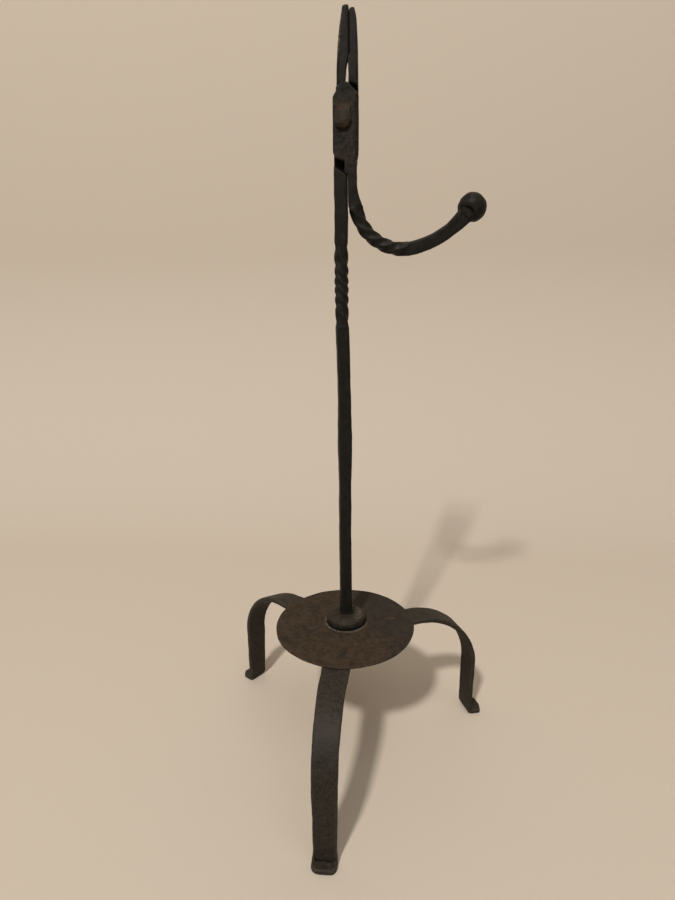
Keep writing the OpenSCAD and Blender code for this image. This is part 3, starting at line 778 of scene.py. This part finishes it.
# %% Helpers for lumps
def spun(name, outline, centre, axis=Vector((0, 0, 1)), count=96):
    """A closed solid from an outline of (radius, height) pairs spun about an axis."""
    frame_of_axis = axis.to_track_quat("Z", "Y").to_matrix()
    angles = np.linspace(0, 2 * np.pi, count, endpoint=False)
    work = bmesh.new()
    rings = []
    for radius, height in outline:
        if radius == 0:
            rings.append([work.verts.new(centre + frame_of_axis @ Vector((0, 0, height)))] * count)
            continue
        rings.append([
            work.verts.new(centre + frame_of_axis @ Vector((radius * math.cos(a), radius * math.sin(a), height)))
            for a in angles
        ])
    for lower, upper in zip(rings, rings[1:]):
        for i in range(count):
            j = (i + 1) % count
            corners = [lower[i], lower[j], upper[j], upper[i]]
            work.faces.new(list(dict.fromkeys(corners)))
    bmesh.ops.recalc_face_normals(work, faces=work.faces)
    mesh = bpy.data.meshes.new(name)
    work.to_mesh(mesh)
    work.free()
    return mesh


def flat_blows(points, centre, blows):
    """Presses each point back to the nearest of the planes (direction, distance)."""
    points = points.astype(float)
    for direction, distance in blows:
        normal = np.array(Vector(direction).normalized())
        beyond = (points - np.array(centre)) @ normal - distance
        points -= np.maximum(beyond, 0)[:, None] * normal
    return points


# %% [markdown]
# ## The ball
#
# The weight that closes the nip is a forged ball. The flat face of the arm runs on
# into it as a round-ended tongue, and the ball swells up over the end of the
# tongue like a lip. Arm and ball share one skin, so the tongue can be pressed
# into it: the points over its outline are pushed back to its face.

# %% Arm and ball
BALL_R = 6.7 * MM
BALL_SEAT = 5.2 * MM
TONGUE_W = 9.2 * MM
TONGUE_END = 1.1 * MM
end_heading = arm[-1, 1:] - arm[-2, 1:]
ball_axis = Vector((end_heading[0], 0, end_heading[1])).normalized()
ball_side = ball_axis.cross(Vector((0, 1, 0)))
arm_tip = STEM_SIDE + Vector((arm_x[-1], 0, arm_z[-1]))
ball_centre = arm_tip + ball_axis * BALL_SEAT
half_turn = np.linspace(-np.pi / 2, np.pi / 2, 49)
unit_ball = [(0.0 if i in (0, 48) else math.cos(a), math.sin(a)) for i, a in enumerate(half_turn)]

random = np.random.default_rng(7)
blows = [(random.normal(size=3), BALL_R * random.uniform(0.95, 0.98)) for _ in range(16)]
ball_mesh = spun("ball", unit_ball, Vector((0, 0, 0)))
ball_points = points_of(ball_mesh) * BALL_R + np.array(ball_centre)
put_points(ball_mesh, flat_blows(ball_points, ball_centre, blows))

arm_skin = one_skin("swing_arm", [arm_bar, arm_head, ball_mesh], 0.28 * MM)
narrow_slot(arm_skin, np.array([0.02, 0.1, 0.22, 0.65, 1.02, 2.12]), np.array([0.0, 0.35, 0.75, 1.1, 1.5, 2.12]))
rim = cut_arris(arm_skin, -1, [(14, -3.6), (17.3, -3.5), (27, -3.05), (36.5, -2.2), (43.8, -0.7)], 1.5 * MM)
cut_arris(arm_skin, 1, [(-17, 5.75), (9, 5.75)], 1.3 * MM)
cut_arris(arm_skin, -1, [(-15, -5.75), (10, -5.75)], 0.7 * MM)
arm_points = points_of(arm_skin).astype(float)
from_ball = arm_points - np.array(ball_centre)
beyond_ball = from_ball @ np.array(ball_axis)
beside_axis = from_ball @ np.array(ball_side)
tongue_middle = TONGUE_W / 2 + TONGUE_END
edge = np.hypot(beside_axis, np.maximum(beyond_ball + tongue_middle, 0)) / (TONGUE_W / 2)
upper_side = step(beside_axis, -3.8 * MM, -1.2 * MM)
pressed = (1 - step(edge, 0.92, 1.0)) * step(beyond_ball, -8.5 * MM, -6.5 * MM) * upper_side
face = hinge.y - (4.3 * MM + 0.8 * MM * step(beyond_ball, -7 * MM, -TONGUE_END))
arm_points[:, 1] += np.maximum(face - arm_points[:, 1], 0) * pressed
put_points(arm_skin, arm_points)
in_front = 1 - step(arm_points[:, 1] - hinge.y, -4 * MM, -2 * MM)
# Painted shadow under the ball's lip, where it overhangs the tongue.
lip_shadow = np.exp(-((edge - 0.96) / 0.08) ** 2) * step(beyond_ball, -6 * MM, -4 * MM) * in_front * upper_side
arm_marked = hammer(
    arm_skin, "swing_arm", dark_iron, free_of_fits(arm_points),
    blow_size=5 * MM, blow_depth=0.12 * MM, waver=0.1 * MM, swell=0.16 * MM, seed=0.3,
)
paint_shade(arm_marked, lip_shadow)
x, y, z = (arm_points - np.array(hinge)).T
on_lap = step(z, -30 * MM, -16 * MM) * (1 - step(z, 8 * MM, 14 * MM))
# Painted highlight, partly wear: a pale streak along the left jaw's cut arris.
arris_wear_and_highlight = (1 - step(np.abs(rim - 0.22), 0.1, 0.22)) * step(z, 22 * MM, 32 * MM)
# The pressed tongue is painted a little paler, as painted light where it faces away from the lamps.
paint(arm_marked, "crust", 0.07 * on_lap + 0.9 * arris_wear_and_highlight + 0.05 * pressed)
paint(arm_marked, "rusted", 0.1 * on_lap + 0.1 * step(z, 20 * MM, 40 * MM) - 0.05 * step(x, 15 * MM, 30 * MM))
keep(arm_marked, "forged_swing_arm", "nip_arm", "dark_iron", "swing_arm", "counterweight")


# %% [markdown]
# ## The hinge rivet
#
# The rivet was hammered over while hot. Its front head is a long oval that
# stands proud at its lower end, with a few curved ridges, and thins out upwards
# until it nearly melts into the lap. Its shank hides in the laps.

# %% Hinge rivet
rivet_low, rivet_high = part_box("pivot_rivet")
HEAD_RISE = 2.4 * MM
HEAD_W = 7.9 * MM
HEAD_H = 11.2 * MM
HEAD_UP = 1.4 * MM
HEAD_LEFT = 0.8 * MM
HEAD_LEAN = 0.4 * MM
SHANK_R = 2.5 * MM


def domed(radius, base, rise, rings=16):
    """Outline of a dome from its middle down to its rim."""
    angles = np.linspace(np.pi / 2, 0.1, rings)
    return [(0.0 if i == 0 else radius * math.cos(a), base + rise * math.sin(a)) for i, a in enumerate(angles)]


front_face = rivet_low.y + HEAD_RISE
back_face = rivet_high.y - 2 * MM
toward_viewer = Vector((0, -1, 0))
middle = Vector((hinge.x, 0, hinge.z))
front_head = spun("front_head", domed(1.0, 0.0, 1.0) + [(0.0, 0.0)], Vector((0, 0, 0)))
across_head, up_head, proud = points_of(front_head).astype(float).T
corner = (np.abs(across_head) ** 2.8 + np.abs(up_head) ** 2.8 + 1e-9) ** (1 / 2.8)
squarer = np.hypot(across_head, up_head) / corner
low_end = 1 - step(up_head, -0.6, 1.0)
proud = np.sqrt(np.clip(proud, 0, 1)) * (0.18 + 0.82 * low_end) * (1 - 0.1 * across_head)
put_points(front_head, np.column_stack([
    hinge.x - HEAD_LEFT + across_head * squarer * HEAD_W / 2 + up_head * HEAD_LEAN,
    front_face - proud * HEAD_RISE,
    hinge.z + HEAD_UP + up_head * squarer * HEAD_H / 2,
]))
back_head = spun("back_head", domed(HEAD_W / 2, back_face, 2 * MM) + [(0.0, back_face)], middle, Vector((0, 1, 0)))
shank = spun(
    "shank",
    [(0.0, back_face), (SHANK_R, back_face), (SHANK_R, front_face), (0.0, front_face)],
    middle,
    Vector((0, 1, 0)),
)
rivet_skin = one_skin("rivet", [front_head, back_head, shank], 0.2 * MM)
head_middle = Vector((hinge.x - HEAD_LEFT, front_face, hinge.z))
rivet_blows = [
    ((-0.35, -0.9, 0.25), 2.2 * MM),
    ((0.7, -0.7, 0.1), 3.1 * MM),
]
rivet_points = flat_blows(points_of(rivet_skin), head_middle, rivet_blows)
ridges = np.hypot(rivet_points[:, 0] - head_middle.x, rivet_points[:, 2] - hinge.z - 3 * MM)
on_head = step(front_face - rivet_points[:, 1], 0.3 * MM, 1 * MM) * (1 - step(rivet_points[:, 2] - hinge.z, -1 * MM, 3 * MM))
rivet_points[:, 1] += 0.12 * MM * on_head * (1 - np.cos(ridges * 2 * np.pi / (1.3 * MM))) / 2
put_points(rivet_skin, rivet_points)
held = step(np.abs(points_of(rivet_skin)[:, 1] - hinge.y), 2.6 * MM, 4 * MM)
rivet_marked = hammer(
    rivet_skin, "rivet", rusty_iron, held, blow_size=3 * MM, blow_depth=0.1 * MM, waver=0.0, swell=0.04 * MM, seed=0.5
)
paint(rivet_marked, "rusted", np.full(len(rivet_marked.vertices), 0.0))
keep(rivet_marked, "hammered_hinge_rivet", "stand", "rusty_iron", "pivot_rivet", spare=1 * MM)


# %% [markdown]
# ## The legs
#
# The three legs are one recipe: half-inch strap, straight under the plate, one
# long bend down and one sharp bend out, and a toe with rounded corners. The same
# tree that drew the bars draws them, now with a flat section, and sets each one
# round the plate by its azimuth. No two came out alike, so each has its own
# width, lean, bow and roll.

# %% Legs
STRAP_T = 2.5 * MM
STRAP_W = 12.5 * MM
LEG_START = 17 * MM
LEG_TOP_W = 14.4 * MM
TAPER = 1.5 * MM
TOE_SPREAD = 1.1 * MM
TOE_R = 0.8 * MM + STRAP_T / 2
TOE_CORNER_R = 3.5 * MM
LEGS = {
    "front": {"azimuth": -93.5, "reach": 86.0, "lean": 0.0, "width": 12.6, "toe": 5.4, "bow": 0.5, "roll": 0.0, "toe_aside": 0.0, "shoulder": 38.5, "dust": 0.04},
    "left": {"azimuth": 142.5, "reach": 83.5, "lean": 2.0, "width": 12.8, "toe": 7.5, "bow": 0.0, "roll": 12.0, "toe_aside": 0.0, "shoulder": 36.0, "dust": 0.1},
    "right": {"azimuth": 20.0, "reach": 81.0, "lean": -1.0, "width": 14.0, "toe": 7.2, "bow": 0.0, "roll": -3.0, "toe_aside": -1.2, "shoulder": 38.5, "dust": 0.04},
}


def leg_path(name, leg):
    """The middle line of a leg, with its width, roll and stray at each point."""
    reach, tip = leg["reach"] * MM, (leg["reach"] + leg["toe"]) * MM
    shoulder = leg["shoulder"] * MM - STRAP_T / 2
    bend = math.radians(90 - leg["lean"])
    top = plate_low.z - STRAP_T / 2
    shin = (plate_low.z - STRAP_T - (shoulder + TOE_R) * (1 - math.cos(bend))) / math.sin(bend)
    out = reach - LEG_START - shoulder * math.sin(bend) - shin * math.cos(bend)
    out -= STRAP_T / 2 * math.sin(bend)
    degrees = math.degrees(bend)
    run = [(out, 0), (shoulder, -degrees), (shin, 0), (TOE_R, degrees)]
    bent = walk(run, (LEG_START, top), 0.0, 0.5 * MM)
    toe = walk([(tip - bent[-1, 1], 0)], (bent[-1, 1], STRAP_T / 2), 0.0, 0.2 * MM)[1:]
    toe[:, 0] += bent[-1, 0]
    distance, x, z = np.vstack([bent, toe]).T
    shin_w = leg["width"] * MM
    toe_w = shin_w - TAPER + TOE_SPREAD
    heights = np.array([STRAP_T, 9 * MM, plate_low.z - 19 * MM])
    low_width = np.interp(z, heights, [toe_w, shin_w - TAPER, shin_w])
    width = np.interp(x, [40 * MM, reach - 9 * MM], [LEG_TOP_W, shin_w])
    width = np.where(z < heights[2], low_width, width)
    past_corner = np.clip(x - (tip - TOE_CORNER_R), 0, 0.97 * TOE_CORNER_R)
    corner = TOE_CORNER_R - np.sqrt(TOE_CORNER_R ** 2 - past_corner ** 2)
    width = np.where(z < STRAP_T, width - 2 * corner, width)
    down = np.clip((top - z) / top, 0, 1)
    aside = leg["bow"] * MM * np.sin(np.pi * down) + leg["toe_aside"] * MM * step(x, reach - 3 * MM, tip)
    roll = math.radians(leg["roll"]) * step(x, 38 * MM, reach - 22 * MM) * step(z, 2 * MM, 12 * MM)
    return chain(name, x, z, size=1.0, turn=math.pi / 2 + roll, spread=width / STRAP_W, aside=aside)


for name, leg in LEGS.items():
    line = leg_path(name + "_leg_path", leg)
    strap_sizes = {
        "Width": STRAP_W,
        "Thickness": STRAP_T,
        "Arris": 0.6 * MM,
        "Azimuth": math.radians(leg["azimuth"]),
        "Foot": PLATE_CENTRE,
        "Material": leg_iron,
    }
    strap = run_tree(line, bar_graph, strap_sizes)
    strap_skin = one_skin(name + "_leg", [strap], 0.4 * MM)
    strap_points = points_of(strap_skin)
    on_floor = step(strap_points[:, 2], 0.1 * MM, 0.6 * MM)
    strap_marked = hammer(
        strap_skin, name + "_leg", leg_iron, on_floor,
        blow_size=7 * MM, blow_depth=0.14 * MM, waver=0.16 * MM, swell=0.34 * MM, seed=len(name) * 0.1,
    )
    paint(strap_marked, "crust", np.full(len(strap_marked.vertices), leg["dust"]))
    keep(strap_marked, f"forged_leg_{name}", "stand", "dark_iron", f"leg_{name}", spare=1.5 * MM)


# %% [markdown]
# ## The drip plate and the collar
#
# The plate is sheet iron cut round and beaten almost flat. Its edge is thin and
# uneven. The collar under the stem is a thick short ring with a domed top.

# %% Drip plate
PLATE_R = (plate_high.x - plate_low.x) / 2
COLLAR_R = (collar_high.x - collar_low.x) / 2
plate_t = plate_high.z - plate_low.z
plate_outline = [
    (0.0, 0.0),
    (PLATE_R - 0.6 * MM, 0.0),
    (PLATE_R - 0.1 * MM, 0.3 * plate_t),
    (PLATE_R, 0.6 * plate_t),
    (PLATE_R - 0.3 * MM, plate_t),
    (0.0, plate_t),
]
plate_mesh = spun("plate", plate_outline, PLATE_CENTRE + Vector((0, 0, plate_low.z)), count=192)
plate_points = points_of(plate_mesh).astype(float)
from_middle = plate_points - np.array(PLATE_CENTRE)
round_plate = np.arctan2(from_middle[:, 1], from_middle[:, 0])
trim = 0.004 * (1 + np.cos(3 * round_plate + 1)) + 0.003 * (1 + np.cos(7 * round_plate + 2))
plate_points[:, :2] -= from_middle[:, :2] * trim[:, None]
put_points(plate_mesh, plate_points)
plate_skin = one_skin("plate", [plate_mesh], 0.42 * MM)
plate_marked = hammer(
    plate_skin, "plate", rusty_iron, blow_size=9 * MM, blow_depth=0.1 * MM,
    waver=0.12 * MM, waver_size=30 * MM, soften=1, seed=0.2,
)
x, y, z = (points_of(plate_marked) - np.array(STEM_SIDE)).T
paint(plate_marked, "rusted", 0.08 - 0.2 * step(x + 0.4 * y, 2 * MM, 26 * MM))
from_collar = np.hypot(x, y) - COLLAR_R
ring = np.exp(-((from_collar - 0.3 * MM) / (0.8 * MM)) ** 2)
paint(plate_marked, "crust", ring * step(-y - 0.4 * x, -9 * MM, 4 * MM))
keep(plate_marked, "beaten_drip_plate", "stand", "rusty_iron", "drip_plate")

# %% Collar
RIM = 4.2 * MM
CROWN = collar_high.z - collar_low.z - RIM
collar_outline = [
    (0.0, 0.0),
    (COLLAR_R - 0.3 * MM, 0.0),
    (COLLAR_R, 0.5 * MM),
    (COLLAR_R, RIM - 1.1 * MM),
    (COLLAR_R - 0.4 * MM, RIM - 0.3 * MM),
    (COLLAR_R - 1.3 * MM, RIM + 0.1 * MM),
    (COLLAR_R - 3.5 * MM, RIM + 0.75 * CROWN),
    (5.5 * MM, RIM + CROWN),
    (0.0, RIM + CROWN),
]
collar_foot = STEM_SIDE + Vector((0, 0, collar_low.z))
collar_mesh = spun("collar", collar_outline, collar_foot)
collar_skin = one_skin("collar", [collar_mesh], 0.3 * MM)
facets = [
    ((math.cos(a), math.sin(a), random.uniform(-0.05, 0.35)), COLLAR_R * random.uniform(0.965, 0.99))
    for a in np.linspace(0, 2 * np.pi, 11, endpoint=False) + 0.3
]
collar_middle = collar_foot + Vector((0, 0, 1.5 * MM))
put_points(collar_skin, flat_blows(points_of(collar_skin), collar_middle, facets))
collar_marked = hammer(
    collar_skin, "collar", rusty_iron, blow_size=4 * MM, blow_depth=0.16 * MM, waver=0.12 * MM, seed=0.7
)
x, y, z = (points_of(collar_marked) - np.array(collar_foot)).T
# Painted shade, darkest at the collar's foot where it meets the plate.
paint_shade(collar_marked, (1 - step(z, 0.8 * MM, 3.4 * MM)) * 0.8)
paint(collar_marked, "rusted", 0.0 * z - 0.12)
paint(collar_marked, "crust", 0.6 * step(x, 4 * MM, 8 * MM) * step(z, RIM, RIM + 1 * MM))
keep(collar_marked, "hammered_collar", "stand", "rusty_iron", "collar")


# %% [markdown]
# ## The leg rivets
#
# Three rivets hold the straps to the plate. What repeats is instanced: one
# rivet is spun, a tree puts it on three points, and `Realize Instances` turns
# the copies into real geometry.

# %% Leg rivets
rivets_graph, rivets_in = geometry_graph("Rivets on points", {"Rivet": "Object", "Material": "Material"})
one_rivet = rivets_graph.add("GeometryNodeObjectInfo", values={"Object": rivets_in["Rivet"]})["Geometry"]
copies = rivets_graph.add(
    "GeometryNodeInstanceOnPoints", values={"Points": rivets_in["Geometry"], "Instance": one_rivet}
)
finish_tree(rivets_graph, copies, rivets_in["Material"])

RIVET_AT = {"front": 27.0, "right": 26.5, "left": 26.0}
RIVET_R = 4.5 * MM
RIVET_SHANK_R = 2 * MM
RIVET_HEAD = 0.45 * MM
RIVET_PEEN = 1.2 * MM
under = -STRAP_T - plate_t
rivet_outline = [
    (0.0, under - RIVET_PEEN),
    (RIVET_R - 1.2 * MM, under - RIVET_PEEN),
    (RIVET_R - 0.6 * MM, under - 0.5 * MM),
    (RIVET_R - 0.5 * MM, under),
    (RIVET_SHANK_R, under),
    (RIVET_SHANK_R, 0.0),
    (RIVET_R, 0.0),
    (RIVET_R - 0.3 * MM, 0.1 * MM),
    (RIVET_R - 1.2 * MM, 0.3 * MM),
    (RIVET_R - 2.6 * MM, RIVET_HEAD),
    (0.0, RIVET_HEAD),
]
rivet_model = link("rivet_model", spun("rivet_model", rivet_outline, Vector((0, 0, 0)), count=48))
spots = bpy.data.meshes.new("rivet_spots")
spots.from_pydata(
    [
        PLATE_CENTRE
        + Vector((
            RIVET_AT[name] * MM * math.cos(math.radians(leg["azimuth"])),
            RIVET_AT[name] * MM * math.sin(math.radians(leg["azimuth"])),
            plate_high.z,
        ))
        for name, leg in LEGS.items()
    ],
    [],
    [],
)
three = run_tree(spots, rivets_graph, {"Rivet": rivet_model, "Material": rusty_iron})
bpy.data.objects.remove(rivet_model)
rivets_skin = one_skin("leg_rivets", [three], 0.25 * MM)
rivets_marked = hammer(rivets_skin, "leg_rivets", rusty_iron, blow_size=2.5 * MM, blow_depth=0.1 * MM, waver=0.0)
keep(
    rivets_marked, "leg_rivets", "stand", "rusty_iron",
    "leg_rivet_front", "leg_rivet_left", "leg_rivet_right",
)


# %% [markdown]
# ## A pale studio
#
# The holder stands on a pale floor that curves up behind it, so there is no
# horizon. One lamp from the upper left throws the main shadow and a weaker one
# from the right fills in, as in the picture.

# %% Floor and backdrop
def plain(name, shade):
    material = bpy.data.materials.new(name)
    material.use_nodes = True
    graph = Graph(material.node_tree)
    values = {"Base Color": shade, "Roughness": 0.85}
    surface = graph.add("ShaderNodeBsdfPrincipled", values=values)
    graph.add("ShaderNodeOutputMaterial", values={"Surface": surface})
    return material


SWEEP_R = 0.3
SWEEP_Y = 0.25
half_width, near, high = 5.0, -5.0, 3.0
curve = [(near, 0.0), (SWEEP_Y, 0.0)]
for angle in np.linspace(0, np.pi / 2, 25)[1:]:
    curve.append((SWEEP_Y + SWEEP_R * math.sin(angle), SWEEP_R * (1 - math.cos(angle))))
curve.append((SWEEP_Y + SWEEP_R, high))
sweep_mesh = bpy.data.meshes.new("sweep")
sweep_mesh.from_pydata(
    [(x, y, z) for y, z in curve for x in (-half_width, half_width)],
    [],
    [(2 * i, 2 * i + 1, 2 * i + 3, 2 * i + 2) for i in range(len(curve) - 1)],
)
sweep_mesh.shade_smooth()
sweep = link("sweep", sweep_mesh)
sweep_mesh.materials.append(plain("pale_paint", colour(0.55, 0.475, 0.388)))


# %% Lamps and world
def lamp(name, place, power, size, tint):
    data = bpy.data.lights.new(name, "AREA")
    data.energy = power
    data.size = size
    data.color = tint
    thing = bpy.data.objects.new(name, data)
    bpy.context.scene.collection.objects.link(thing)
    place = Vector(place)
    aim = Vector((0, 0, 0.15)) - place
    thing.matrix_world = Matrix.Translation(place) @ aim.to_track_quat("-Z", "Y").to_matrix().to_4x4()
    return thing


lamp("key", (-0.68, -2.1, 2.75), 90, 0.24, (1.0, 0.97, 0.93))
lamp("overhead", (0.5, -1.0, 2.6), 14, 1.6, (1.0, 0.98, 0.96))
world = bpy.data.worlds.new("world")
world.use_nodes = True
bpy.context.scene.world = world
world_graph = Graph(world.node_tree)
light = world_graph.add("ShaderNodeBackground", values={"Color": colour(1.0, 0.98, 0.95), "Strength": 0.2})
seen = world_graph.add("ShaderNodeBackground", values={"Color": colour(0.55, 0.475, 0.388), "Strength": 1.0})
ray = world_graph.add("ShaderNodeLightPath")
looking = ray["Is Camera Ray"] + ray["Is Glossy Ray"] + ray["Is Transmission Ray"]
sky = world_graph.add("ShaderNodeMixShader", values={0: looking.held(), 1: light, 2: seen})
world_graph.add("ShaderNodeOutputWorld", values={"Surface": sky})
bpy.context.scene.view_settings.view_transform = "Standard"
